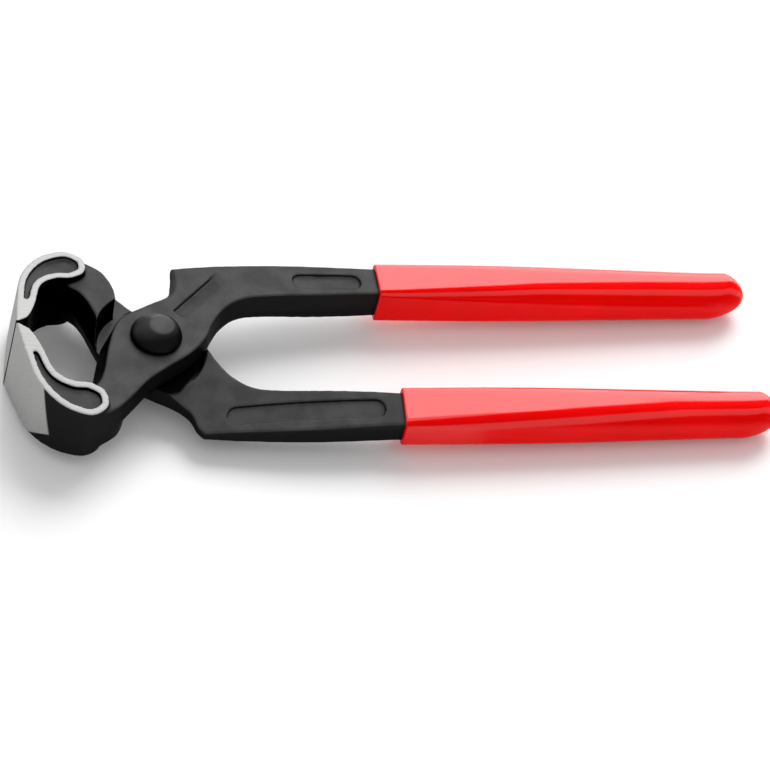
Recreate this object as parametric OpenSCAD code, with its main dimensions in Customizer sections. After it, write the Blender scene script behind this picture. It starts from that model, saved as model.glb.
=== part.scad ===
// Carpenters' pincers: end cutting nippers with two forged halves on a rivet and dipped grips.
// Lengths in millimetres, angles in degrees. The tool lies closed, jaws toward -X, rivet upright.

/* [Overall] */
// Length of the closed tool, cutting edge to handle ends
overall_length = 210; // [180:1:250]
// Cutting edge to rivet centre
head_length = 38.7; // [36:0.1:44]
// Width across both closed jaws
head_width = 58.6; // [54:0.2:66]
// Length of the cutting edge
jaw_width = 25; // [22:0.5:32]

/* [Jaws] */
// Slope of the ground jaw sides
side_taper = 7.1; // [4:0.1:9]
// Direction in plan in which the ground sides fall away, from the tool's long axis
side_heading = 69; // [60:1:80]
// Gap left between the closed cutting edges
edge_seam = 0.3; // [0.2:0.05:0.6]
// Width of the bright rim round each jaw recess
rim_width = 1.9; // [1.4:0.1:2.2]
// Depth of each jaw recess
recess_depth = 1.3; // [0.5:0.1:2]
// Distance from the cutting edge to the tip of each recess
recess_start = 9; // [8:0.1:14]

/* [Joint] */
// Radius of the flat disc on which the halves turn
joint_radius = 13; // [12:0.1:14]
// Thickness of each half at the rivet
plate_thickness = 6.7; // [6:0.1:8]
// Gap between the two lapped faces
lap_gap = 0.1; // [0.06:0.02:0.2]
// Clearance round the disc at the foot of the milled pocket
pocket_clearance = 2.2; // [1.6:0.1:2.6]
// Growth of the pocket's radius over the thickness of a half
pocket_flare = 1.3; // [0.8:0.1:2]
// Rivet centre to the shoulder that stops the opening
shoulder_distance = 9; // [8.5:0.1:10]

/* [Rivet] */
// Diameter of the rivet's shank
rivet_diameter = 9; // [7:0.1:10]
// Diameter of each closed head
rivet_head_diameter = 14; // [12:0.1:16]
// Diameter of the flat on each head
rivet_flat_diameter = 6.4; // [4:0.1:8]
// Height of each head
rivet_head_height = 5; // [3:0.1:5.6]
// Radial play of the shank in the half that turns on it
running_clearance = 0.04; // [0.02:0.01:0.08]
// Radial play of the shank in the half that holds it
seat_clearance = 0.02; // [0.01:0.01:0.04]
// Play under each rivet head
head_clearance = 0.06; // [0.04:0.02:0.12]

/* [Handles] */
// Rivet centre to the mouth of each grip
collar_distance = 65; // [60:0.5:72]
// Tool axis to the middle of each bar at the grip's mouth
handle_spread = 22.6; // [20:0.1:26]
// Bar's width at the grip's mouth
bar_width = 9; // [8:0.1:10]
// Height of the bar's inner side at the grip's mouth
bar_height = 9.4; // [8.4:0.1:10]
// Rivet centre to the fold where the plate's top starts to fall toward the bar
fold_distance = 20; // [18:0.5:26]
// Bow of the bar's outer edge between spur and grip
edge_bow = 0.9; // [0.4:0.1:1.4]
// Radius of the long curve of the bar's inner face, from the joint to the grip
relief_radius = 320; // [280:1:360]
// Sideways slope of that face
relief_tilt = 14.5; // [10:0.5:18]

/* [Grips] */
// Grip's width at its mouth
grip_width = 11.6; // [11.6:0.1:14]
// Grip's height at its mouth
grip_height = 12; // [12:0.1:14]
// Grip's width where its end starts to round
grip_end_width = 12; // [11:0.1:14]
// Grip's height where its end starts to round
grip_end_height = 11.8; // [11:0.1:14]
// Tool axis to the middle of each grip's end
end_spread = 22; // [20:0.1:26]
// Corner radius of the grip's section at its mouth
grip_corner = 1.5; // [1.4:0.1:3]
// Corner radius of the grip's section where its end starts to round
grip_end_corner = 4.2; // [3:0.1:5]
// Length over which the grip's closed end rounds
end_round = 7.5; // [5:0.1:9]
// Thickness of the dipped coat on the bar's sides
coat = 1.2; // [1:0.1:1.2]
// Thickness of the coat at the closed end
end_coat = 3; // [2:0.1:4]
// Gap between the coat and the bar
coat_gap = 0.05; // [0.03:0.01:0.1]

/* [Hidden] */
$fn = 96;
overrun = 1;
curve_steps = 5;
corner_steps = 5;
round_steps = 5;
length_steps = 4;
pivot_x = head_length - overall_length / 2;
rivet_seat = plate_thickness + head_clearance;
pivot_z = max(jaw_width / 2, rivet_seat + rivet_head_height);
handle_length = overall_length - head_length;
reach = 2 * overall_length;
half_head = head_width / 2;
pocket_radius = joint_radius + pocket_clearance;
fall_angle = atan((plate_thickness - bar_height / 2) / (collar_distance - fold_distance));
// The bar's inner face is highest a little past the grip's mouth, just short of the bar's own height
relief_lead_share = 0.17;
relief_crest_share = 0.775;
relief_x = collar_distance * (1 + relief_lead_share);
relief_z = relief_crest_share * bar_height / 2;
// The plain bar runs a little way into the grip, where the tail takes over
tail_lap_share = 0.1;
bar_end = collar_distance + tail_lap_share * bar_width;
// How far the grip's section is drawn in at its very end
end_inset_share = 0.41;
end_inset = end_inset_share * min(grip_end_width, grip_end_height);
steel = [0.23, 0.24, 0.25];
rivet_steel = [0.3, 0.31, 0.32];
red_coat = [0.8, 0.05, 0.05];

// One jaw in plan, from the cutting edge over the back and round to the edge again, as shares of
// the head's length and of half its width
jaw_shares = [
    [-1, 0], [-0.963, 0.3], [-0.9, 0.64], [-0.756, 0.895], [-0.56, 1], [-0.435, 0.9],
    [-0.437, 0.735], [-0.535, 0.643], [-0.66, 0.622], [-0.772, 0.515], [-0.838, 0.265],
    [-0.905, 0.082], [-0.995, 0]
];
// Where the neck's two edges start inside the jaw, as shares of the same sizes
throat_neck_shares = [[-0.62, -0.68], [-0.486, -0.614]];
back_neck_shares = [[-0.331, -0.833], [-0.452, -0.932], [-0.56, -0.93]];
// Edges of the joint plate, as shares of the joint's radius: along the throat to the spur, up the
// spur of each half, the rear one trimmed further back, and from the bar's inner bend round the
// crotch to the neck
throat_shares = [[-1.2, -1.015], [-0.97, -0.23], [-0.69, 0.485], [-0.08, 0.87]];
front_spur_shares = [[0.4, 1.15], [0.54, 1.54], [0.592, 1.854]];
rear_spur_shares = [[0.38, 1.15], [0.65, 1.43], [0.76, 1.75], [0.88, 1.93]];
crotch_shares = [[2.54, 1.2], [1.94, 1.07], [1.54, 0.777], [1.26, 0.385], [1.06, 0], [0.69, -0.42],
    [0.16, -0.8], [-0.29, -1.15], [-0.64, -1.53]];

// Point between a and b, a share t of the way along
function between(a, b, t) = a + (b - a) * t;

// Smooth open curve through the points p, with the given steps in each span
function span_point(a, b, c, d, t) =
    (2 * b + (c - a) * t + (2 * a - 5 * b + 4 * c - d) * t * t + (3 * b - a - 3 * c + d) * t * t * t) / 2;
function curve(p) = let (last = len(p) - 1) concat(
    [for (i = [0:last - 1], k = [0:curve_steps - 1])
        span_point(i > 0 ? p[i - 1] : 2 * p[0] - p[1], p[i], p[i + 1],
            i + 1 < last ? p[i + 2] : 2 * p[last] - p[last - 1], k / curve_steps)],
    [p[last]]);
function without_first(p) = [for (i = [1:len(p) - 1]) p[i]];

// Closed outline p drawn in by d; p runs clockwise
function inward(a, b) = [b[1] - a[1], a[0] - b[0]] / norm(b - a);
function drawn_in(p, d) = let (n = len(p))
    [for (i = [0:n - 1]) p[i] + d * inward(p[(i + n - 1) % n], p[(i + 1) % n])];

function head_point(s) = [s[0] * head_length, s[1] * half_head];
function jaw_point(s) = [s[0] * head_length, edge_seam / 2 + s[1] * (half_head - edge_seam / 2)];
jaw_outline = curve([for (s = jaw_shares) jaw_point(s)]);
recess_outline = [for (p = drawn_in(jaw_outline, rim_width)) if (p[1] > recess_start) p];

bar_outer = [bar_end, handle_spread + bar_width / 2];
bar_inner = [bar_end, handle_spread - bar_width / 2];
inner_bend = crotch_shares[0] * joint_radius;
function lever_outline(spur_shares) =
    let (spur = spur_shares[len(spur_shares) - 1] * joint_radius)
    concat(
        curve(concat([for (s = throat_neck_shares) head_point(s)],
            concat(throat_shares, spur_shares) * joint_radius)),
        without_first(curve([spur, between(spur, bar_outer, 1 / 2) + [0, edge_bow], bar_outer])),
        curve(concat([bar_inner, between(bar_inner, inner_bend, 1 / 2)], crotch_shares * joint_radius,
            [for (s = back_neck_shares) head_point(s)])));

// Everything beyond a jaw's ground side face, moved in by the given depth
module beyond_side(depth) {
    translate([-head_length, edge_seam / 2, jaw_width / 2])
        rotate([0, 0, side_heading])
            rotate([0, side_taper, 0])
                translate([-reach / 2, -reach / 2, -depth])
                    cube(reach);
}

// The jaw above the tool axis, ground on both sides with a recess left in each side
module jaw() {
    difference() {
        linear_extrude(jaw_width, center = true)
            polygon(jaw_outline);
        for (side = [0, 1])
            mirror([0, 0, side]) {
                beyond_side(0);
                intersection() {
                    linear_extrude(jaw_width)
                        polygon(recess_outline);
                    beyond_side(recess_depth);
                }
            }
    }
}

// What the other half's plate sweeps, below the lapped face
module lap_pocket() {
    depth = plate_thickness + overrun;
    translate([0, 0, -depth])
        cylinder(h = depth + lap_gap / 2, r1 = pocket_radius + pocket_flare * depth / plate_thickness,
            r2 = pocket_radius);
    translate([-shoulder_distance, -reach, -depth])
        cube([reach, reach, depth + lap_gap / 2]);
}

// Everything below the curved, sloping inner face of the bar, outside the turning disc
module bar_relief() {
    difference() {
        translate([0, 0, -reach / 2])
            cube([bar_end + overrun, reach / 2, reach]);
        translate([relief_x, handle_spread, -relief_z])
            rotate([relief_tilt, 0, 0])
                translate([0, 0, relief_radius])
                    rotate([90, 0, 0])
                        cylinder(h = reach, r = relief_radius, center = true, $fn = 720);
        cylinder(h = reach, r = joint_radius, center = true);
    }
}

// What is above the top of the bar, past the fold
module above_bar() {
    translate([fold_distance, 0, plate_thickness])
        rotate([0, fall_angle, 0])
            translate([-fold_distance, -reach / 2, 0])
                cube([reach, reach, reach]);
}

// Neck, joint plate and plain bar of the front half, with the spur given
module lever(spur_shares) {
    difference() {
        translate([0, 0, -plate_thickness])
            linear_extrude(2 * plate_thickness)
                polygon(lever_outline(spur_shares));
        lap_pocket();
        bar_relief();
        above_bar();
        translate([0, 0, -reach - bar_height / 2])
            cube([reach, reach, reach]);
    }
}

// Rounded rectangle at x: middle y, width in y, height in z, corner radius, and the slope of its
// lower side, which is level with the rectangle's at the bar's inner side
function section(x, y, w, h, r, slope) = [
    for (q = [0:3], k = [0:corner_steps])
        let (a = 90 * (q + k / corner_steps),
            sy = (q == 0 || q == 3) ? 1 : -1,
            sz = q < 2 ? 1 : -1,
            across = sy * (w / 2 - r) + r * cos(a),
            lift = sz < 0 ? slope * (across + bar_width / 2) : 0)
        [x, y + across, sz * (h / 2 - r) + r * sin(a) + lift]
];

// Section of the grip at x, drawn in by d all round
function grip_share(x) = (x - collar_distance) / (handle_length - end_round - collar_distance);
function grip_section(x, d, t) =
    let (corner = between(grip_corner, grip_end_corner, t))
    section(x, between(handle_spread, end_spread, t),
        between(grip_width, grip_end_width, t) - 2 * d, between(grip_height, grip_end_height, t) - 2 * d,
        max(corner - d, corner / 5), tan(relief_tilt) * (1 - t));

// Solid skinned over rings of points with closed ends
module skin(rings) {
    n = len(rings[0]);
    m = len(rings);
    polyhedron(
        points = [for (r = rings, p = r) p],
        faces = concat(
            [[for (i = [0:n - 1]) i]],
            [for (j = [0:m - 2], i = [0:n - 1])
                [j * n + i, (j + 1) * n + i, (j + 1) * n + (i + 1) % n]],
            [for (j = [0:m - 2], i = [0:n - 1])
                [j * n + i, (j + 1) * n + (i + 1) % n, j * n + (i + 1) % n]],
            [[for (i = [n - 1:-1:0]) (m - 1) * n + i]]));
}

// Handle shape from x = start to its round end, d inside the grip's outside and short of its end
module handle_core(start, d, short) {
    shoulder = handle_length - end_round;
    skin(concat(
        [for (k = [0:length_steps - 1])
            let (x = between(start, shoulder, k / length_steps))
            grip_section(x, d, grip_share(x))],
        [for (k = [0:round_steps])
            let (a = 90 * k / round_steps)
            grip_section(shoulder + (end_round - short) * sin(a), d + (end_inset - d) * (1 - cos(a)), 1)]));
}

// One forged half: jaw, neck, plate, bar and the tail inside the grip, with the bore and spur given
module forged_half(bore_radius, spur_shares) {
    difference() {
        union() {
            mirror([0, 1, 0])
                jaw();
            lever(spur_shares);
            handle_core(collar_distance + coat_gap, coat + coat_gap, end_coat + coat_gap);
        }
        cylinder(h = reach, r = bore_radius, center = true);
    }
}

// One dipped grip, closed at its end
module dipped_grip() {
    difference() {
        handle_core(collar_distance + coat_gap, 0, 0);
        handle_core(collar_distance - overrun, coat, end_coat);
    }
}

// Moves a piece from the rivet's frame into the tool's frame
module at_pivot() {
    translate([pivot_x, 0, pivot_z])
        children();
}

module front_half() {
    color(steel)
        at_pivot()
            forged_half(rivet_diameter / 2 + running_clearance, front_spur_shares);
}

module rear_half() {
    color(steel)
        at_pivot()
            rotate([180, 0, 0])
                forged_half(rivet_diameter / 2 + seat_clearance, rear_spur_shares);
}

// Rivet turned about its axis: a shank with a domed, flat-topped head on each end
module pivot_rivet() {
    crown = rivet_seat + rivet_head_height;
    wall_share = 0.18;
    wall = wall_share * rivet_head_height;
    flat = rivet_flat_diameter / 2;
    rim = rivet_head_diameter / 2;
    middle = (flat * flat - rim * rim) / (rivet_head_height - wall) / 2 + (rivet_head_height + wall) / 2;
    ball = norm([rim, wall - middle]);
    flat_angle = atan2(flat, rivet_head_height - middle);
    rim_angle = atan2(rim, wall - middle);
    dome = [for (k = [0:round_steps])
        let (a = between(flat_angle, rim_angle, k / round_steps))
        [ball * sin(a), rivet_seat + middle + ball * cos(a)]];
    quarter = concat(dome, [[rim, rivet_seat], [rivet_diameter / 2, rivet_seat]]);
    below = [for (i = [len(quarter) - 1:-1:0]) [quarter[i][0], -quarter[i][1]]];
    color(rivet_steel)
        at_pivot()
            rotate_extrude()
                polygon(concat([[0, crown]], quarter, below, [[0, -crown]]));
}

module upper_grip() {
    color(red_coat)
        at_pivot()
            dipped_grip();
}

module lower_grip() {
    color(red_coat)
        at_pivot()
            rotate([180, 0, 0])
                dipped_grip();
}

front_half();
rear_half();
pivot_rivet();
upper_grip();
lower_grip();
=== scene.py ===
import math

import bpy
import numpy as np
from mathutils import Matrix, Vector


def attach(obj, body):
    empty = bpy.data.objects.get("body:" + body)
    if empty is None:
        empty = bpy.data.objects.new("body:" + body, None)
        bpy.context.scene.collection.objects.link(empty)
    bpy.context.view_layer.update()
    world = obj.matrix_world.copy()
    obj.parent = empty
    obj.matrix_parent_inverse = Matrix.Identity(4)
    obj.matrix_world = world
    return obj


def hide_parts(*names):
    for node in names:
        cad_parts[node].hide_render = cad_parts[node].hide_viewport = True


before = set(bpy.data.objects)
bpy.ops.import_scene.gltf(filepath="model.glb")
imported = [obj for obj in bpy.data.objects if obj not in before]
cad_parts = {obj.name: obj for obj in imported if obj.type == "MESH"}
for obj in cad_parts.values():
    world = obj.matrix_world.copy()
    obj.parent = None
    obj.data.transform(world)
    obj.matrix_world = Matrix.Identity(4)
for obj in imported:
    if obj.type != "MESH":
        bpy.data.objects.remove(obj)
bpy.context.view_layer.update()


# Forged halves: two drop forgings of tool steel, the rear one turned half a turn about the tool's length.
# Each is jaw, neck, joint plate, bar and the tail inside the grip. The flash is trimmed, the joint is
# milled, the whole is blackened, and the jaw sides and fronts are ground bright last.
MM = 0.001
PIVOT = np.array([-66.3, 0.0, 12.5])

HEAD_LENGTH, HALF_HEAD, HALF_JAW, EDGE_SEAM = 38.7, 29.3, 12.5, 0.3
SIDE_TAPER, SIDE_HEADING = math.radians(7.1), math.radians(69)
RIM, RECESS_DEPTH, RECESS_START, RECESS_ROUND, RECESS_FOOT = 1.9, 1.3, 9.2, 1.0, 0.4
JOINT_RADIUS, PLATE, LAP, BORE = 13.0, 6.7, 0.05, 4.55
POCKET_RADIUS, POCKET_FLARE, POCKET_AT, SHOULDER, SHOULDER_ROUND = 14.5, 1.3, (-0.55, -0.45), 9.0, 4.0
COLLAR, BAR_END, SPREAD, BAR_WIDTH, BAR_HEIGHT, EDGE_BOW = 65.0, 65.9, 22.6, 9.0, 9.4, 0.9
FOLD = 20.0
FALL = (PLATE - BAR_HEIGHT / 2) / (COLLAR - FOLD)
RELIEF_X, RELIEF_Z, RELIEF_RADIUS, RELIEF_TILT = 76.05, 3.6425, 320.0, math.radians(14.5)
RELIEF_LIMIT, RELIEF_FALL, RELIEF_CLEAR, RELIEF_ROUND = 0.4, 0.8, 1.0, 1.5
DRAFT, SOFT_EDGE, MILLED_EDGE, NECK_FILLET = 0.08, 0.5, 0.25, 1.1
THROAT_DRAFT, THROAT_FROM, THROAT_TO, THROAT_REACH = 0.27, (-19.0, -16.0), (-13.0, -2.0), 5.0
SPUR_EDGE, SPUR_EDGE_AT, SPUR_EDGE_REACH = 2.2, (6.6, 19.2), 3.6
PANEL_DEPTH, PANEL_RUN_OUT, PANEL_SLOPE, PANEL_LEAST = 1.0, 4.0, 0.68, 0.04
TAIL_START, TAIL_END, TAIL_END_ROUND, TAIL_END_SPREAD = 64.0, 166.5, 3.0, 22.0
TAIL_WIDTH, TAIL_HEIGHT, TAIL_CORNER = 8.8, 8.8, 3.0

JAW_SHARES = [
    (-1, 0), (-0.963, 0.3), (-0.9, 0.64), (-0.756, 0.895), (-0.56, 1), (-0.435, 0.9), (-0.437, 0.735),
    (-0.535, 0.643), (-0.66, 0.622), (-0.772, 0.515), (-0.838, 0.265), (-0.905, 0.082), (-0.995, 0)]
NECK_THROAT_SHARES = [(-0.62, -0.68), (-0.486, -0.614)]
NECK_BACK_SHARES = [(-0.331, -0.833), (-0.452, -0.932), (-0.56, -0.93)]
THROAT_SHARES = [(-1.2, -1.015), (-0.97, -0.23), (-0.69, 0.485), (-0.08, 0.87)]
FRONT_SPUR_SHARES = [(0.4, 1.15), (0.54, 1.54), (0.592, 1.92)]
REAR_SPUR_SHARES = [(0.38, 1.15), (0.65, 1.43), (0.76, 1.75), (0.88, 1.93)]
CROTCH_SHARES = [
    (2.54, 1.2), (1.94, 1.07), (1.54, 0.777), (1.26, 0.385), (1.06, 0), (0.69, -0.42), (0.16, -0.8),
    (-0.29, -1.15), (-0.64, -1.53)]
PLATE_PANEL = dict(middle=(15.1, 14.7), half_length=10.1, half_width=2.6, heading=math.radians(45), corner=0.3)
BAR_PANEL = dict(middle=(50.8, 21.7), half_length=9.6, half_width=2.5, heading=math.radians(1.5), corner=2.4)
LAP_PANEL = dict(middle=(39.0, 21.8), half_length=21.2, half_width=2.6, heading=math.radians(1.6), corner=2.5)


def smooth_curve(points, steps=8):
    """Open Catmull-Rom curve through the points."""
    p = np.asarray(points, float)
    p = np.vstack([2 * p[0] - p[1], p, 2 * p[-1] - p[-2]])
    t = (np.arange(steps) / steps)[:, None]
    spans = [
        (2 * b + (c - a) * t + (2 * a - 5 * b + 4 * c - d) * t ** 2 + (3 * b - a - 3 * c + d) * t ** 3) / 2
        for a, b, c, d in zip(p, p[1:], p[2:], p[3:])]
    return np.vstack(spans + [p[-2:-1]])


def outline_distance(outline, x, y):
    """Signed distance in plan to a closed outline, negative inside."""
    nearest = np.full(x.shape, np.inf)
    inside = np.zeros(x.shape, bool)
    for (ax, ay), (bx, by) in zip(outline, np.roll(outline, -1, axis=0)):
        ex, ey = bx - ax, by - ay
        along = np.clip(((x - ax) * ex + (y - ay) * ey) / (ex * ex + ey * ey + 1e-12), 0, 1)
        nearest = np.minimum(nearest, (x - ax - along * ex) ** 2 + (y - ay - along * ey) ** 2)
        if ay != by:
            inside ^= ((ay > y) != (by > y)) & (x < ax + (y - ay) / (by - ay) * ex)
    return np.where(inside, -1, 1) * np.sqrt(nearest)


def keep_both(a, b, radius):
    """What lies in both a and b, with the edge between them rounded."""
    return np.minimum(np.maximum(a, b), -radius) + np.hypot(
        np.maximum(a + radius, 0), np.maximum(b + radius, 0))


def join_both(a, b, radius):
    """What lies in a or b, with a fillet where they meet."""
    return np.maximum(np.minimum(a, b), radius) - np.hypot(
        np.maximum(radius - a, 0), np.maximum(radius - b, 0))


def panel_distance(x, y, middle, half_length, half_width, heading, corner):
    """Signed distance in plan to a rectangle with rounded corners, lying along its heading."""
    dx, dy = x - middle[0], y - middle[1]
    along = np.abs(dx * math.cos(heading) + dy * math.sin(heading)) - half_length + corner
    across = np.abs(dy * math.cos(heading) - dx * math.sin(heading)) - half_width + corner
    return np.hypot(np.maximum(along, 0), np.maximum(across, 0)) + np.minimum(
        np.maximum(along, across), 0) - corner


def forging_field(x, y, z, spur_shares, spur_edge, throat_swell):
    """Signed distance to a forging over a grid of points, in mm about the rivet's middle."""
    plan_x, plan_y = np.meshgrid(x, y, indexing="ij")
    jaw_outline = smooth_curve([
        (a * HEAD_LENGTH, -EDGE_SEAM / 2 - b * (HALF_HEAD - EDGE_SEAM / 2)) for a, b in JAW_SHARES])
    jaw_plan = outline_distance(jaw_outline, plan_x, plan_y)[:, :, None]

    def on_head(shares):
        return [(a * HEAD_LENGTH, b * HALF_HEAD) for a, b in shares]

    def on_joint(shares):
        return [(a * JOINT_RADIUS, b * JOINT_RADIUS) for a, b in shares]

    spur = np.array(on_joint(spur_shares)[-1])
    outer = np.array([BAR_END, SPREAD + BAR_WIDTH / 2])
    inner = np.array([BAR_END, SPREAD - BAR_WIDTH / 2])
    bend = np.array(on_joint(CROTCH_SHARES)[0])
    lever_outline = np.vstack([
        smooth_curve(on_head(NECK_THROAT_SHARES) + on_joint(THROAT_SHARES + spur_shares)),
        smooth_curve([spur, (spur + outer) / 2 + [0, EDGE_BOW], outer])[1:],
        smooth_curve([inner, (inner + bend) / 2] + on_joint(CROTCH_SHARES) + on_head(NECK_BACK_SHARES))])
    lever_plan = outline_distance(lever_outline, plan_x, plan_y)[:, :, None]

    x, y, z = x[:, None, None], y[None, :, None], z[None, None, :]

    # The jaw: a claw as wide as its edge is long, ground on both sides, with a sunk crescent in each.
    fall = math.tan(SIDE_TAPER) * ((x + HEAD_LENGTH) * math.cos(SIDE_HEADING)
                                   + (-y - EDGE_SEAM / 2) * math.sin(SIDE_HEADING))
    side = (np.abs(z) + fall - HALF_JAW) * math.cos(SIDE_TAPER)
    jaw = np.maximum(jaw_plan, side)
    crescent = keep_both(jaw_plan + RIM, y + RECESS_START, RECESS_ROUND)
    jaw = np.maximum(jaw, -keep_both(crescent, -side - RECESS_DEPTH, RECESS_FOOT))

    # Neck, plate and bar: drafted walls under a flat top that falls toward the grip past the fold.
    top_height = PLATE - FALL * np.maximum(x - FOLD, 0)
    from_throat = outline_distance(np.array([THROAT_FROM, THROAT_TO]), plan_x, plan_y)[:, :, None]
    from_spur = np.hypot(x - SPUR_EDGE_AT[0], y - SPUR_EDGE_AT[1])
    at_spur = spur_edge * np.exp(-from_spur ** 2 / (2 * SPUR_EDGE_REACH ** 2))
    at_throat = np.exp(-from_throat ** 2 / (2 * THROAT_REACH ** 2))
    draft = DRAFT * (1 - at_spur) + THROAT_DRAFT * at_throat
    flare = draft * (np.abs(z) - top_height) - throat_swell * at_throat
    top = z - top_height
    lever = keep_both(lever_plan + flare, top, SOFT_EDGE + (SPUR_EDGE - SOFT_EDGE) * at_spur)
    lever = keep_both(lever, -z - np.where(y > 0, BAR_HEIGHT / 2, PLATE), SOFT_EDGE)
    neck_plan = keep_both(lever_plan + flare, x + SHOULDER, SHOULDER_ROUND)
    lever = np.where((y < 0) & (z < LAP), np.maximum(lever, neck_plan), lever)

    # The bar's inner face, curved along its length, outside the turning disc.
    radius = np.hypot(x, y)
    rise = (z + RELIEF_Z) * math.cos(RELIEF_TILT) - (y - SPREAD) * math.sin(RELIEF_TILT)
    curved = np.hypot(x - RELIEF_X, rise - RELIEF_RADIUS) - RELIEF_RADIUS
    near_disc = z - RELIEF_LIMIT - RELIEF_FALL * np.maximum(radius - JOINT_RADIUS - RELIEF_CLEAR, 0)
    past_disc = np.maximum(JOINT_RADIUS - radius, np.maximum(-x, -y))
    relief = np.maximum(keep_both(-curved, near_disc, RELIEF_ROUND), past_disc)
    lever = keep_both(lever, -relief, SOFT_EDGE)

    # Shallow plain panels pressed into the plate, the bar's top and the bar's inner face.
    off_x, off_y = x - PLATE_PANEL["middle"][0], y - PLATE_PANEL["middle"][1]
    lie_x, lie_y = math.cos(PLATE_PANEL["heading"]), math.sin(PLATE_PANEL["heading"])
    along, across = off_x * lie_x + off_y * lie_y, off_y * lie_x - off_x * lie_y
    run_out = np.clip(0.5 + PANEL_SLOPE * across / PLATE_PANEL["half_width"], PANEL_LEAST, 1) * np.clip(
        (PLATE_PANEL["half_length"] - along) / PANEL_RUN_OUT, 0, 1)
    for panel, face, depth in (
            (PLATE_PANEL, top, PANEL_DEPTH * run_out), (BAR_PANEL, top, PANEL_DEPTH),
            (LAP_PANEL, curved, PANEL_DEPTH)):
        lever = np.maximum(lever, -np.maximum(panel_distance(x, y, **panel), -face - depth))

    # The tail inside the grip.
    share = np.clip((x - TAIL_START) / (TAIL_END - TAIL_START), 0, 1)
    off = y - SPREAD - (TAIL_END_SPREAD - SPREAD) * share
    tail_y = np.abs(off) - TAIL_WIDTH / 2 + TAIL_CORNER
    tail_z = np.maximum(z, (off + BAR_WIDTH / 2) * math.tan(RELIEF_TILT) - z) - TAIL_HEIGHT / 2 + TAIL_CORNER
    tail = np.hypot(np.maximum(tail_y, 0), np.maximum(tail_z, 0)) + np.minimum(
        np.maximum(tail_y, tail_z), 0) - TAIL_CORNER
    tail = keep_both(tail, np.maximum(x - TAIL_END, TAIL_START - x), TAIL_END_ROUND)

    half = np.minimum(join_both(jaw, lever, NECK_FILLET), tail)
    half = np.maximum(half, np.where(y + RECESS_START < 0, side, -np.inf))

    # The milled pocket for the other half's plate, and the rivet's bore.
    from_pocket = np.hypot(x - POCKET_AT[0], y - POCKET_AT[1])
    cone = (from_pocket - POCKET_RADIUS + POCKET_FLARE * (z - LAP) / PLATE) * math.cos(
        math.atan(POCKET_FLARE / PLATE))
    pocket = np.maximum(np.minimum(cone, np.maximum(-SHOULDER - x, y)), z - LAP)
    half = keep_both(half, -pocket, MILLED_EDGE)
    return np.maximum(half, BORE - radius)


def skin_field(field, x, y, z):
    """Points and quads of the surface where a grid's values pass through zero (surface nets)."""
    grid = (x, y, z)
    inside = field < 0
    corners = [(i, j, k) for i in (0, 1) for j in (0, 1) for k in (0, 1)]
    size = tuple(n - 1 for n in field.shape)

    def corner(values, c):
        return values[c[0]:c[0] + size[0], c[1]:c[1] + size[1], c[2]:c[2] + size[2]]

    count = sum(corner(inside, c).astype(np.int8) for c in corners)
    cells = np.argwhere((count > 0) & (count < 8))
    total, crossings = np.zeros((len(cells), 3)), np.zeros(len(cells))
    for c in corners:
        for axis in range(3):
            if c[axis]:
                continue
            far = np.array(c)
            far[axis] = 1
            a = field[tuple((cells + c).T)]
            b = field[tuple((cells + far).T)]
            cut = (a < 0) != (b < 0)
            share = np.where(cut, a / np.where(cut, a - b, 1), 0)
            for n in range(3):
                start = grid[n][cells[:, n] + c[n]]
                end = grid[n][cells[:, n] + far[n]]
                total[:, n] += np.where(cut, start + (end - start) * share, 0)
            crossings += cut
    points = total / crossings[:, None]
    number = np.full(size, -1, np.int64)
    number[tuple(cells.T)] = np.arange(len(cells))
    quads = []
    for axis in range(3):
        u, v = (axis + 1) % 3, (axis + 2) % 3
        low = [slice(None)] * 3
        high = [slice(None)] * 3
        low[axis], high[axis] = slice(0, -1), slice(1, None)
        here = np.argwhere(inside[tuple(low)] != inside[tuple(high)])
        here = here[(here[:, u] > 0) & (here[:, v] > 0) & (here[:, u] < size[u]) & (here[:, v] < size[v])]
        step_u, step_v = np.eye(3, dtype=int)[u], np.eye(3, dtype=int)[v]
        around = [number[tuple((here - s).T)] for s in (step_u * 0, step_u, step_u + step_v, step_v)]
        quad = np.stack(around, 1)
        outward = inside[tuple(here.T)]
        quad[~outward] = quad[~outward][:, ::-1]
        quads.append(quad)
    return points, np.vstack(quads)


def spaced(*stretches):
    """Grid lines over stretches of (start, end, step)."""
    return np.unique(np.round(np.concatenate([
        np.linspace(a, b, int(math.ceil((b - a) / step)) + 1) for a, b, step in stretches]), 4))


def mesh_piece(name, points, faces, material):
    """Object with a smooth mesh, from points in mm about the rivet's middle."""
    mesh = bpy.data.meshes.new(name)
    mesh.from_pydata(((points + PIVOT) * MM).tolist(), [], [list(face) for face in faces])
    mesh.update()
    mesh.polygons.foreach_set("use_smooth", np.ones(len(mesh.polygons), bool))
    mesh.materials.append(material)
    piece = bpy.data.objects.new(name, mesh)
    bpy.context.scene.collection.objects.link(piece)
    return piece


def add_node(tree, kind, inputs=None, **settings):
    """Node with its settings, each input given a value or linked to a socket."""
    made = tree.nodes.new(kind)
    for setting, value in settings.items():
        setattr(made, setting, value)
    for socket, value in (inputs or {}).items():
        if isinstance(value, bpy.types.NodeSocket):
            tree.links.new(value, made.inputs[socket])
        else:
            made.inputs[socket].default_value = value
    return made


def add_maths(tree, operation, *values):
    return add_node(tree, "ShaderNodeMath", dict(enumerate(values)), operation=operation).outputs[0]


def add_vector(tree, operation, *values):
    """Outputs of a vector maths node, Vector and Value."""
    return add_node(tree, "ShaderNodeVectorMath", dict(enumerate(values)), operation=operation).outputs


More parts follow.
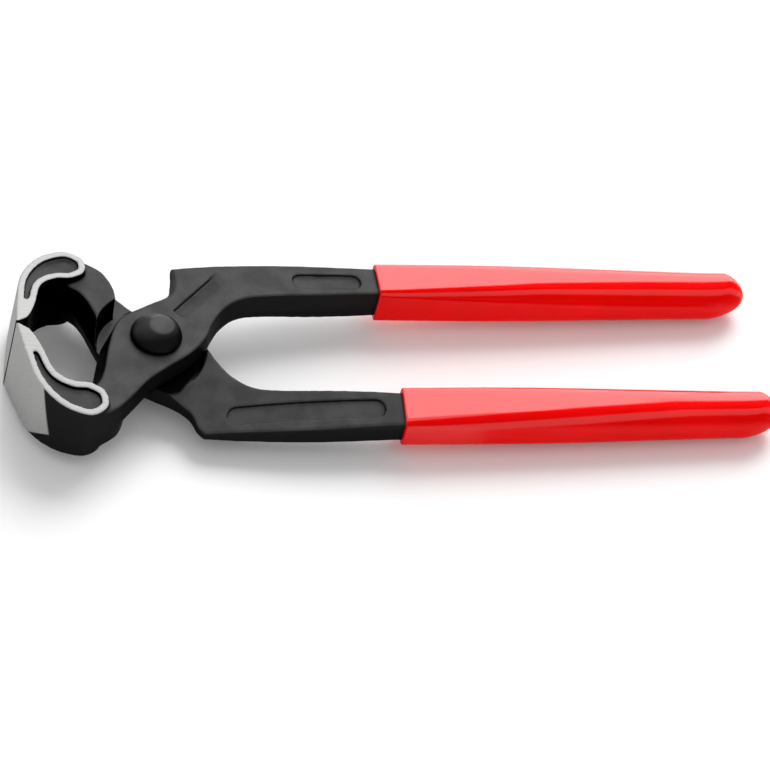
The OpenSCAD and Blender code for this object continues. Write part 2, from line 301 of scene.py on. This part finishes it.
def add_range(tree, value, low, high, to_low=0.0, to_high=1.0):
    """Value moved smoothly from one range onto another, held at its ends."""
    return add_node(tree, "ShaderNodeMapRange", {
        "Value": value, "From Min": low, "From Max": high, "To Min": to_low, "To Max": to_high},
        interpolation_type="SMOOTHSTEP").outputs["Result"]


def add_blend(tree, share, a, b):
    """Colour between a and b."""
    return add_node(
        tree, "ShaderNodeMix", {"Factor": share, "A": a, "B": b}, data_type="RGBA").outputs["Result"]


def add_mix(tree, share, a, b):
    """Value between a and b."""
    return add_node(tree, "ShaderNodeMix", {"Factor": share, "A": a, "B": b}).outputs["Result"]


def new_group(name, inputs, outputs):
    """Node group with named float inputs beside Vector, and named float outputs."""
    tree = bpy.data.node_groups.new(name, "ShaderNodeTree")
    tree.interface.new_socket("Vector", in_out="INPUT", socket_type="NodeSocketVector")
    for socket, value in inputs.items():
        tree.interface.new_socket(socket, in_out="INPUT", socket_type="NodeSocketFloat").default_value = value
    for socket in outputs:
        tree.interface.new_socket(socket, in_out="OUTPUT", socket_type="NodeSocketFloat")
    return tree, tree.nodes.new("NodeGroupInput").outputs, tree.nodes.new("NodeGroupOutput").inputs


# Skin grain: a fine pebbled height, and soft patches of tone many grains wide.
grain_group, given, gives = new_group(
    "skin_grain", {"Scale": 1000.0, "Patch Scale": 100.0}, ["Height", "Patches"])
fine = add_node(grain_group, "ShaderNodeTexNoise", {
    "Vector": given["Vector"], "Scale": given["Scale"], "Detail": 3.0, "Roughness": 0.6})
grain_group.links.new(fine.outputs["Fac"], gives["Height"])
broad = add_node(grain_group, "ShaderNodeTexNoise", {
    "Vector": given["Vector"], "Scale": given["Patch Scale"], "Detail": 2.0, "Roughness": 0.5})
grain_group.links.new(broad.outputs["Fac"], gives["Patches"])

# Wheel marks: fine streaks along one direction, left by a grinding wheel or a turning tool.
marks_group, given, gives = new_group("wheel_marks", {"Scale": 1000.0, "Stretch": 0.04}, ["Streaks"])
squeeze = add_node(marks_group, "ShaderNodeCombineXYZ", {"X": given["Stretch"], "Y": 1.0, "Z": 1.0})
squeezed = add_vector(marks_group, "MULTIPLY", given["Vector"], squeeze.outputs[0])["Vector"]
streaks = add_node(marks_group, "ShaderNodeTexNoise", {
    "Vector": squeezed, "Scale": given["Scale"], "Detail": 2.0, "Roughness": 0.7})
marks_group.links.new(streaks.outputs["Fac"], gives["Streaks"])


def add_group(tree, group, vector, **values):
    made = add_node(tree, "ShaderNodeGroup", node_tree=group)
    tree.links.new(vector, made.inputs["Vector"])
    for socket, value in values.items():
        made.inputs[socket.replace("_", " ")].default_value = value
    return made.outputs


def new_material(name):
    """Material with its node tree, its shader and the piece's own coordinates."""
    material = bpy.data.materials.new(name)
    material.use_nodes = True
    tree = material.node_tree
    place = tree.nodes.new("ShaderNodeTexCoord").outputs["Object"]
    return material, tree, tree.nodes["Principled BSDF"], place


BLACK_LOW, BLACK_HIGH = (0.0395, 0.0395, 0.04, 1), (0.0525, 0.0525, 0.053, 1)
# Painted shade: a darker black for the walls, and a near black for the painted shade in the jaws' hollow and the
# painted shadow in the lap.
WALL_SHADE_BLACK, SHADOW_BLACK = (0.016, 0.016, 0.0162, 1), (0.001, 0.001, 0.001, 1)
BRIGHT_LOW, BRIGHT_HIGH = (0.36, 0.358, 0.355, 1), (0.46, 0.457, 0.453, 1)
FRONT_LOW, FRONT_HIGH = (0.36, 0.358, 0.355, 1), (0.45, 0.447, 0.443, 1)
STEEL_TINT = (0.5, 0.5, 0.5, 1)
NOISE_SPAN, TOP_SPAN = (0.3, 0.7), (0.15, 0.6)
BLACK_ROUGHNESS, GROUND_ROUGHNESS = (0.44, 0.54), (0.56, 0.66)
SIDE_SKIN, SEAM_SHADE = (0.3, 0.12), (0.45, 0.65)
FRONT_WALL, FRONT_SKIN, FRONT_FADE = (-38.937, 0.30226, -0.02117, 0.000897), (0.9, 0.63), (-0.2, 0.5)
FRONT_REACH, FRONT_REACH_SLOPE, FRONT_FOOT, FRONT_FOOT_SLOPE = 23.87, -0.26, 30.1, 1.1
# Where the painted shade lies in the jaws' hollow, and where the painted shadow of the other half's plate lies
# in the lap.
HOLLOW_AT, HOLLOW_SIZE = (20.0, 0, 0), (1 / 13.5, 1 / 20.0, 0)
HOLLOW_EDGE, HOLLOW_SHADE = (1.25, 1.12), 0.35
LAP_HEIGHT, LAP_REACH, LAP_START = (1.4, 0.5), (15.9, 15.3), (-7.0, -3.4)
LAP_ACROSS, LAP_LINE = (0.75, -0.661, 0), (13.9, 12.9)

forging_finish, tree, shader, place = new_material("blackened_forging")
grain = add_group(tree, grain_group, place, Scale=2600.0, Patch_Scale=160.0)
marks = add_group(tree, marks_group, place, Scale=2400.0, Stretch=0.05)["Streaks"]
about_rivet = add_vector(tree, "SUBTRACT", place, tuple(PIVOT * MM))["Vector"]
in_mm = add_node(
    tree, "ShaderNodeVectorMath", {0: about_rivet, "Scale": 1 / MM}, operation="SCALE").outputs["Vector"]
signed = add_node(tree, "ShaderNodeSeparateXYZ", {0: in_mm}).outputs
across = add_maths(tree, "ABSOLUTE", signed["Y"])

# Ground steel: a skin under the tapered sides of the jaws, and one behind the curved wall of their fronts.
folded = add_vector(tree, "ABSOLUTE", in_mm)["Vector"]
side_reach = add_vector(tree, "DOT_PRODUCT", folded, (
    -math.tan(SIDE_TAPER) * math.cos(SIDE_HEADING), math.tan(SIDE_TAPER) * math.sin(SIDE_HEADING), 1))["Value"]
side_level = HALF_JAW - math.tan(SIDE_TAPER) * (
    HEAD_LENGTH * math.cos(SIDE_HEADING) - EDGE_SEAM / 2 * math.sin(SIDE_HEADING))
on_side = add_range(tree, side_reach, *(side_level - skin for skin in SIDE_SKIN))
height = add_maths(
    tree, "MULTIPLY", add_maths(tree, "SIGN", signed["Y"]), add_maths(tree, "MULTIPLY", signed["Z"], -1.0))
front_wall = FRONT_WALL[-1]
for share in FRONT_WALL[-2::-1]:
    front_wall = add_maths(tree, "MULTIPLY_ADD", across, front_wall, share)
behind_wall = add_maths(tree, "SUBTRACT", signed["X"], front_wall)
front_end = add_maths(
    tree, "MINIMUM", add_maths(tree, "MULTIPLY_ADD", height, FRONT_REACH_SLOPE, FRONT_REACH),
    add_maths(tree, "MULTIPLY_ADD", height, FRONT_FOOT_SLOPE, FRONT_FOOT))
on_front = add_maths(
    tree, "MULTIPLY", add_range(tree, behind_wall, *FRONT_SKIN),
    add_range(tree, add_maths(tree, "SUBTRACT", front_end, across), *FRONT_FADE))
# Along the seam between the two jaws the bright is held back to the black: painted shade in the narrow gap
# between the edges.
bright = add_maths(
    tree, "MULTIPLY", add_maths(tree, "MAXIMUM", on_side, on_front), add_range(tree, across, *SEAM_SHADE))
worn = add_range(tree, marks, *NOISE_SPAN)
ground = add_blend(
    tree, on_front, add_blend(tree, worn, BRIGHT_LOW, BRIGHT_HIGH), add_blend(tree, worn, FRONT_LOW, FRONT_HIGH))

# Black: painted lighter on the tops than on the walls, as the lamps light them, and painted near black in the
# jaws' hollow and in the lap, as painted shade there and the painted shadow of the other half's plate.
facing = tree.nodes.new("ShaderNodeTexCoord").outputs["Normal"]
upright = add_maths(tree, "ABSOLUTE", add_node(tree, "ShaderNodeSeparateXYZ", {0: facing}).outputs["Z"])
from_hollow = add_vector(tree, "ADD", in_mm, HOLLOW_AT)["Vector"]
hollow_share = add_vector(tree, "MULTIPLY", from_hollow, HOLLOW_SIZE)["Vector"]
in_hollow = add_range(tree, add_vector(tree, "LENGTH", hollow_share)["Value"], *HOLLOW_EDGE)
on_top = add_range(tree, add_maths(tree, "MULTIPLY_ADD", in_hollow, -HOLLOW_SHADE, upright), *TOP_SPAN)
top_black = add_blend(tree, add_range(tree, grain["Patches"], *NOISE_SPAN), BLACK_LOW, BLACK_HIGH)
shaded_black = add_blend(tree, in_hollow, WALL_SHADE_BLACK, SHADOW_BLACK)
black = add_blend(tree, on_top, shaded_black, top_black)
# The lap mask: near the lap plane, inside the joint's reach and on the plate's side of a line along the other
# half's plate edge. It is painted shadow cast by that plate.
in_plan = add_vector(tree, "MULTIPLY", in_mm, (1, 1, 0))["Vector"]
lap_shadow = add_range(tree, add_maths(tree, "ABSOLUTE", signed["Z"]), *LAP_HEIGHT)
for value, span in (
        (add_vector(tree, "LENGTH", in_plan)["Value"], LAP_REACH), (signed["X"], LAP_START),
        (add_vector(tree, "DOT_PRODUCT", in_mm, LAP_ACROSS)["Value"], LAP_LINE)):
    lap_shadow = add_maths(tree, "MULTIPLY", lap_shadow, add_range(tree, value, *span))
black = add_blend(tree, lap_shadow, black, SHADOW_BLACK)

tree.links.new(add_blend(tree, bright, black, ground), shader.inputs["Base Color"])
shader.inputs["Metallic"].default_value = 1
shader.inputs["Specular Tint"].default_value = STEEL_TINT
black_roughness = add_range(tree, grain["Height"], *NOISE_SPAN, *BLACK_ROUGHNESS)
ground_roughness = add_range(tree, marks, *NOISE_SPAN, *GROUND_ROUGHNESS)
tree.links.new(add_mix(tree, bright, black_roughness, ground_roughness), shader.inputs["Roughness"])
skin_height = add_mix(tree, bright, grain["Height"], marks)
bump = add_node(tree, "ShaderNodeBump", {"Height": skin_height, "Strength": 0.25, "Distance": 0.00006})
tree.links.new(bump.outputs["Normal"], shader.inputs["Normal"])

grid_x = spaced((-39.6, 0, 0.33), (0, 30, 0.36), (30, 66, 0.5), (66, 169, 1.2))
grid_y = spaced((-30.2, 29, 0.33))
grid_z = spaced((-13, 13, 0.33))
for name, body, turn, spur_shares, spur_edge, throat_swell in (
        ("front_half", "front_lever", 1, FRONT_SPUR_SHARES, 1, 0.5),
        ("rear_half", "rear_lever", -1, REAR_SPUR_SHARES, 0, 1.3)):
    field = forging_field(grid_x, grid_y, grid_z, spur_shares, spur_edge, throat_swell)
    points, quads = skin_field(field, grid_x, grid_y, grid_z)
    half = mesh_piece("forged_" + name, points * [1, turn, turn], quads, forging_finish)
    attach(half, body)
    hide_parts(name)


# Pivot rivet: one solid pin of steel, turned, put through both halves and closed into a dome with a
# It is blackened with the halves; its black is painted lighter where it faces up and back toward the lamps and
# darker where it faces away: painted highlight and painted shade.
RIVET_RADIUS, HEAD_RADIUS, FLAT_RADIUS, HEAD_HEIGHT, HEAD_PLAY = 4.5, 7.0, 3.2, 5.0, 0.06
HEAD_WALL, FLAT_ROUND, RIM_ROUND, RIM_CUT, WALL_CUT = 0.9, 0.25, 0.3, 0.09, 0.1
FLAT_SHIFT, SHIFT_BEND, FLAT_RINGS, DOME_STEPS, RIVET_SIDES = (0.8, -0.3), 1.5, (0.8, 1.8), 18, 96

dome_centre = ((HEAD_WALL ** 2 + HEAD_RADIUS ** 2) - (HEAD_HEIGHT ** 2 + FLAT_RADIUS ** 2)) / (
    2 * (HEAD_WALL - HEAD_HEIGHT))
dome_radius = math.hypot(HEAD_RADIUS, HEAD_WALL - dome_centre)
dome_start = math.asin((FLAT_RADIUS + FLAT_ROUND) / dome_radius)
dome_end = math.asin((HEAD_RADIUS - RIM_ROUND / 3) / dome_radius)
profile = [
    (r, HEAD_HEIGHT) for r in (*FLAT_RINGS, FLAT_RADIUS - 2 * FLAT_ROUND, FLAT_RADIUS - FLAT_ROUND)]
profile += [
    (dome_radius * math.sin(a), dome_centre + dome_radius * math.cos(a))
    for a in np.linspace(dome_start, dome_end, DOME_STEPS)]
profile += [(HEAD_RADIUS, HEAD_WALL - WALL_CUT), (HEAD_RADIUS, RIM_ROUND)]
profile += [(HEAD_RADIUS - RIM_CUT, RIM_CUT), (HEAD_RADIUS - RIM_ROUND, 0.0), (RIVET_RADIUS, 0.0)]
profile = np.array(profile) + [0, PLATE + HEAD_PLAY]
profile = np.vstack([profile, profile[::-1] * [1, -1]])


def spun(profile, sides):
    """Points and faces of a closed solid spun about the rivet's axis."""
    turns = np.arange(sides) * 2 * math.pi / sides
    rise = (np.abs(profile[:, 1]) - PLATE - HEAD_WALL) / (HEAD_HEIGHT - HEAD_WALL)
    lean = np.clip(rise, 0, 1) ** SHIFT_BEND
    points = [
        (r * math.cos(a) + FLAT_SHIFT[0] * off, r * math.sin(a) + FLAT_SHIFT[1] * off * np.sign(h), h)
        for (r, h), off in zip(profile, lean) for a in turns]
    faces = [tuple(range(sides)), tuple(len(points) - 1 - i for i in range(sides))]
    for ring in range(len(profile) - 1):
        for i in range(sides):
            here, following = ring * sides + i, ring * sides + (i + 1) % sides
            faces.append((here, here + sides, following + sides, following))
    return np.array(points), faces


# Painted highlight and painted shade: the rivet's black turns lighter where its skin faces up and back toward
# the lamps, and darker where it faces away from them.
RIVET_SHADE_BLACK, RIVET_HIGHLIGHT_BLACK = (0.007, 0.007, 0.0071, 1), (0.1, 0.1, 0.101, 1)
TOWARD_LAMPS, RIVET_SHADE_SPAN, RIVET_HIGHLIGHT_SPAN = (0, 0.6, 0.8), (0.1, 0.85), (0.86, 0.97)
RIVET_ROUGHNESS = (0.34, 0.44)
rivet_finish, tree, shader, place = new_material("blackened_rivet")
grain = add_group(tree, grain_group, place, Scale=2200.0, Patch_Scale=220.0)
top_black = add_blend(tree, add_range(tree, grain["Patches"], *NOISE_SPAN), BLACK_LOW, BLACK_HIGH)
facing = tree.nodes.new("ShaderNodeTexCoord").outputs["Normal"]
toward_lamps = add_vector(tree, "DOT_PRODUCT", facing, TOWARD_LAMPS)["Value"]
black = add_blend(tree, add_range(tree, toward_lamps, *RIVET_SHADE_SPAN), RIVET_SHADE_BLACK, top_black)
black = add_blend(tree, add_range(tree, toward_lamps, *RIVET_HIGHLIGHT_SPAN), black, RIVET_HIGHLIGHT_BLACK)
tree.links.new(black, shader.inputs["Base Color"])
tree.links.new(add_range(tree, grain["Height"], *NOISE_SPAN, *RIVET_ROUGHNESS), shader.inputs["Roughness"])
shader.inputs["Metallic"].default_value = 1
shader.inputs["Specular Tint"].default_value = STEEL_TINT
bump = add_node(tree, "ShaderNodeBump", {"Height": grain["Height"], "Strength": 0.2, "Distance": 0.00005})
tree.links.new(bump.outputs["Normal"], shader.inputs["Normal"])

rivet = mesh_piece("domed_rivet", *spun(profile, RIVET_SIDES), rivet_finish)
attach(rivet, "rear_lever")
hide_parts("pivot_rivet")


# Grips: a coat of soft glossy plastic that each bar is dipped in, closed and rounded at the handle's end.
# It follows the bar's sloping inner face at the mouth and turns into a fuller, rounder section behind.
SHOULDER_AT, END_INSET, END_LOW, END_HIGH, END_POINT = 158.3, 5.6, 10.5, 5.5, 0.75
HOLLOW_END, HOLLOW_ROUND, HOLLOW_INSET = 168.1, 4.6, 4.6
GRIP_PLACES = (0, 0.12, 0.26, 0.4, 0.55, 0.8, 1)
GRIP_WIDTHS = (11.7, 12.3, 12.9, 13.2, 13.3, 13.0, 12.6)
GRIP_HEIGHTS = (11.8, 12.3, 12.9, 13.2, 13.3, 13.0, 12.6)
GRIP_CORNERS = (1.9, 2.8, 3.7, 4.4, 5.1, 5.8, 6.0)
COAT, MOUTH_START, MOUTH_ROUND, MOUTH_BREAK, MOUTH_RUN = 1.2, 65.05, 0.45, 0.15, 0.3
LEAST_CORNER, LEAST_FLAT = 0.2, 0.05
CORNER_STEPS, SIDE_STEPS, LENGTH_STEPS, ROUND_STEPS, MOUTH_STEPS = 10, 4, 60, 18, 6


def grip_ring(x, inset, end_spread):
    """Section of the grip at x, drawn in by inset all round."""
    share = min((x - COLLAR) / (SHOULDER_AT - COLLAR), 1)
    width, grip_height, corner = (
        np.interp(share, GRIP_PLACES, sizes) for sizes in (GRIP_WIDTHS, GRIP_HEIGHTS, GRIP_CORNERS))
    corner = min(max(corner - inset, corner * LEAST_CORNER), min(width, grip_height) / 2 - inset - LEAST_FLAT)
    reach_y, reach_z = width / 2 - inset - corner, grip_height / 2 - inset - corner
    slope = math.tan(RELIEF_TILT) * (1 - share)
    ring = []
    for quarter, (side_y, side_z) in enumerate(((1, 1), (-1, 1), (-1, -1), (1, -1))):
        turns = (quarter + np.arange(CORNER_STEPS + 1) / CORNER_STEPS) * math.pi / 2
        arc = [(math.cos(a), math.sin(a)) for a in turns]
        ring += [(side_y * reach_y + corner * c, side_z * reach_z + corner * s) for c, s in arc]
        next_y, next_z = ((-1, 1), (-1, -1), (1, -1), (1, 1))[quarter]
        end_y, end_z = next_y * reach_y + corner * arc[-1][0], next_z * reach_z + corner * arc[-1][1]
        start_y, start_z = ring[-1]
        ring += [
            (start_y + (end_y - start_y) * k / SIDE_STEPS, start_z + (end_z - start_z) * k / SIDE_STEPS)
            for k in range(1, SIDE_STEPS)]
    middle = SPREAD + (end_spread - SPREAD) * share
    half_height = reach_z + corner
    return [
        (x, middle + a, b + slope * (a + BAR_WIDTH / 2) * min(max((half_height - b) / (2 * half_height), 0), 1))
        for a, b in ring]


def grip_rings(start, end, low, high, full_side, inset, end_inset, end_spread):
    """Rings from start to the closed end, which rounds over low on one side and over high on the other."""
    rings = [grip_ring(x, inset, end_spread) for x in np.linspace(start, end - low, LENGTH_STEPS)[:-1]]
    around = np.array(grip_ring(end, inset, end_spread))
    around = around[:, 1:] - around[:, 1:].mean(axis=0)
    lean = full_side * around.sum(axis=1) / np.hypot(*around.T)
    begin = end - low + (low - high) * np.clip(0.5 + 0.5 * lean, 0, 1)
    for a in np.linspace(0, math.pi / 2, ROUND_STEPS):
        drawn_in = inset + (end_inset - inset) * (1 - math.cos(a)) ** END_POINT
        ring = np.array(grip_ring(end, drawn_in, end_spread))
        ring[:, 0] = begin + (end - begin) * math.sin(a)
        rings.append(ring.tolist())
    return rings


def grip_skin(end, full_side, end_spread):
    """Points and faces of one grip, from its hollow's end out over the mouth and along the outside."""
    rings = grip_rings(
        MOUTH_START + MOUTH_BREAK, HOLLOW_END, HOLLOW_ROUND, HOLLOW_ROUND, full_side, COAT, HOLLOW_INSET,
        end_spread)[::-1]
    rings.append(grip_ring(MOUTH_START, COAT - MOUTH_BREAK, end_spread))
    for a in np.linspace(math.pi / 2, 0, MOUTH_STEPS):
        rings.append(grip_ring(
            MOUTH_START + MOUTH_ROUND * (1 - math.sin(a)), MOUTH_ROUND * (1 - math.cos(a)), end_spread))
    rings += grip_rings(
        MOUTH_START + MOUTH_ROUND + MOUTH_RUN, end, END_LOW, END_HIGH, full_side, 0, END_INSET, end_spread)
    count = len(rings[0])
    last = count * (len(rings) - 1)
    faces = [tuple(range(count))[::-1], tuple(range(last, last + count))]
    for ring in range(len(rings) - 1):
        for i in range(count):
            here, following = ring * count + i, ring * count + (i + 1) % count
            faces.append((here, following, following + count, here + count))
    return np.array([point for ring in rings for point in ring]), faces


RED_LOW, RED_HIGH = (0.84, 0.001, 0.001, 1), (0.92, 0.0015, 0.002, 1)
GRIP_ROUGHNESS, COAT_ROUGHNESS, COAT_IOR, UNDER_COAT = (0.10, 0.16), 0.1, 2.1, 0.02
# Painted highlight: the coat's weight, and with it the lamps' reflection, is placed by which way the skin faces
# and how far along the grip it lies.
HIGHLIGHT_RUN_OFF, HIGHLIGHT_START, HIGHLIGHT_LEAST, HIGHLIGHT_EDGE = (-5.788, -4.3, 0.0), 0.395, 0.06, 0.05
UPPER_HIGHLIGHT, BACK_HIGHLIGHT, BACK_SPAN = 0.62, 0.15, (0.2, 0.65)
STREAK_AT, STREAK_REACH, STREAK_HIGHLIGHT = -0.49, 0.15, 0.27
FLANK_HIGHLIGHT, FLANK_SPAN = 0.07, (-0.85, -0.97)
grip_finish, tree, shader, place = new_material("dipped_plastic")
grain = add_group(tree, grain_group, place, Scale=420.0, Patch_Scale=60.0)
red = add_blend(tree, add_range(tree, grain["Patches"], *NOISE_SPAN), RED_LOW, RED_HIGH)
tree.links.new(red, shader.inputs["Base Color"])
tree.links.new(add_range(tree, grain["Height"], *NOISE_SPAN, *GRIP_ROUGHNESS), shader.inputs["Roughness"])
bump = add_node(tree, "ShaderNodeBump", {"Height": grain["Patches"], "Strength": 0.06, "Distance": 0.0002})
tree.links.new(bump.outputs["Normal"], shader.inputs["Normal"])
# The coat is given weight in a band along the top and back edge that narrows toward the end, in a thin streak
# below it and faintly on the front flank, so the lamps' reflection shows only there: painted highlight.
facing = add_node(tree, "ShaderNodeSeparateXYZ", {
    0: tree.nodes.new("ShaderNodeTexCoord").outputs["Normal"]}).outputs
run_off = add_vector(tree, "DOT_PRODUCT", place, HIGHLIGHT_RUN_OFF)["Value"]
highlight_at = add_maths(tree, "ADD", facing["Y"], add_maths(
    tree, "MAXIMUM", add_maths(tree, "ADD", run_off, HIGHLIGHT_START), HIGHLIGHT_LEAST))
upper_highlight = add_maths(
    tree, "MULTIPLY", add_range(tree, highlight_at, -HIGHLIGHT_EDGE, HIGHLIGHT_EDGE, 0.0, UPPER_HIGHLIGHT),
    add_range(tree, facing["Z"], *BACK_SPAN, BACK_HIGHLIGHT, 1.0))
off_streak = add_maths(tree, "ABSOLUTE", add_maths(tree, "SUBTRACT", highlight_at, STREAK_AT))
streak_highlight = add_range(tree, off_streak, STREAK_REACH, STREAK_REACH / 2, 0.0, STREAK_HIGHLIGHT)
flank_highlight = add_range(tree, facing["Y"], *FLANK_SPAN, 0.0, FLANK_HIGHLIGHT)
painted_gloss = add_maths(tree, "MAXIMUM", flank_highlight, add_maths(tree, "MAXIMUM", upper_highlight, streak_highlight))
tree.links.new(painted_gloss, shader.inputs["Coat Weight"])
shader.inputs["Coat Roughness"].default_value = COAT_ROUGHNESS
shader.inputs["Coat IOR"].default_value = COAT_IOR
shader.inputs["Specular IOR Level"].default_value = UNDER_COAT

for name, body, turn, end, end_spread in (
        ("upper_grip", "front_lever", 1, 170.5, 21.8), ("lower_grip", "rear_lever", -1, 171.3, 22.1)):
    points, faces = grip_skin(end, turn, end_spread)
    grip = mesh_piece("dipped_" + name, points * [1, turn, turn], faces, grip_finish)
    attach(grip, body)
    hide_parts(name)


# Floor, light and camera: the tool lies on a white sweep, on its rivet and the ends of its grips,
# under a softbox above and behind it, with a tall reflector behind for the metal and the gloss to mirror.
FLOOR_REACH, FLOOR_START, FLOOR_RISE, FLOOR_LIFT = 4.0, -0.0828, 0.0341, 0.05
floor_mesh = bpy.data.meshes.new("floor")
floor_mesh.from_pydata([
    (x, y, (x - FLOOR_START) * FLOOR_RISE) for x, y in (
        (-FLOOR_REACH, -FLOOR_REACH), (FLOOR_REACH, -FLOOR_REACH),
        (FLOOR_REACH, FLOOR_REACH), (-FLOOR_REACH, FLOOR_REACH))], [], [(0, 1, 2, 3)])
floor = bpy.data.objects.new("floor", floor_mesh)
bpy.context.scene.collection.objects.link(floor)


def add_seen(tree):
    """One for what the camera, gloss or glass looks at, zero for light on its way."""
    ray = tree.nodes.new("ShaderNodeLightPath").outputs
    return add_maths(tree, "MAXIMUM", ray["Is Camera Ray"], add_maths(
        tree, "MAXIMUM", ray["Is Glossy Ray"], ray["Is Transmission Ray"]))


floor_white = bpy.data.materials.new("floor_white")
floor_white.use_nodes = True
tree = floor_white.node_tree
shader = tree.nodes["Principled BSDF"]
shader.inputs["Base Color"].default_value = (0.9, 0.9, 0.9, 1)
shader.inputs["Roughness"].default_value = 1
shader.inputs["Specular IOR Level"].default_value = 0
shader.inputs["Emission Color"].default_value = (1, 1, 1, 1)
tree.links.new(add_maths(tree, "MULTIPLY", add_seen(tree), FLOOR_LIFT), shader.inputs["Emission Strength"])
floor_mesh.materials.append(floor_white)

AMBIENT = 0.62
world = bpy.data.worlds.new("studio")
bpy.context.scene.world = world
world.use_nodes = True
tree = world.node_tree
background = tree.nodes["Background"]
background.inputs["Color"].default_value = (1, 1, 1, 1)
tree.links.new(add_mix(tree, add_seen(tree), AMBIENT, 1.0), background.inputs["Strength"])

LAMP_AWAY, LAMP_SIDE = 2.4, math.radians(24)
for name, elevation, width, tall, watts, lights_floor in (
        ("softbox", math.radians(46), 1.5, 1.5, 54.0, True),
        ("reflector", math.radians(40), 2.4, 4.0, 51.0, False)):
    lamp = bpy.data.lights.new(name, "AREA")
    lamp.shape = "RECTANGLE"
    lamp.size, lamp.size_y = width, tall
    lamp.energy = watts
    lamp_at = bpy.data.objects.new(name, lamp)
    level = math.cos(elevation)
    toward = Vector((level * math.sin(LAMP_SIDE), level * math.cos(LAMP_SIDE), math.sin(elevation)))
    lamp_at.location = toward * LAMP_AWAY
    lamp_at.rotation_euler = (-toward).to_track_quat("-Z", "Y").to_euler()
    lamp_at.visible_diffuse, lamp_at.visible_glossy = lights_floor, not lights_floor
    bpy.context.scene.collection.objects.link(lamp_at)

bpy.context.scene.view_settings.view_transform = "Standard"
PICTURE_SIDE, SENSOR, FOCAL_PIXELS, VIEW_LIMIT = 770, 36, 5602.631, 20
VIEW_TURN, VIEW_AWAY = Vector((-0.72505, 0.24155, 0.09117)), Vector((-62.39416, 8.51034, -1500))
view = Matrix.Rotation(VIEW_TURN.length, 3, VIEW_TURN.normalized())
eye = -(view.transposed() @ VIEW_AWAY) + Vector(PIVOT)
camera_data = bpy.data.cameras.new("camera")
camera_data.sensor_width = SENSOR
camera_data.lens = FOCAL_PIXELS * SENSOR / PICTURE_SIDE
camera_data.clip_end = VIEW_LIMIT
camera = bpy.data.objects.new("camera", camera_data)
camera.matrix_world = Matrix.Translation(eye * MM) @ view.transposed().to_4x4()
bpy.context.scene.collection.objects.link(camera)
bpy.context.scene.camera = camera
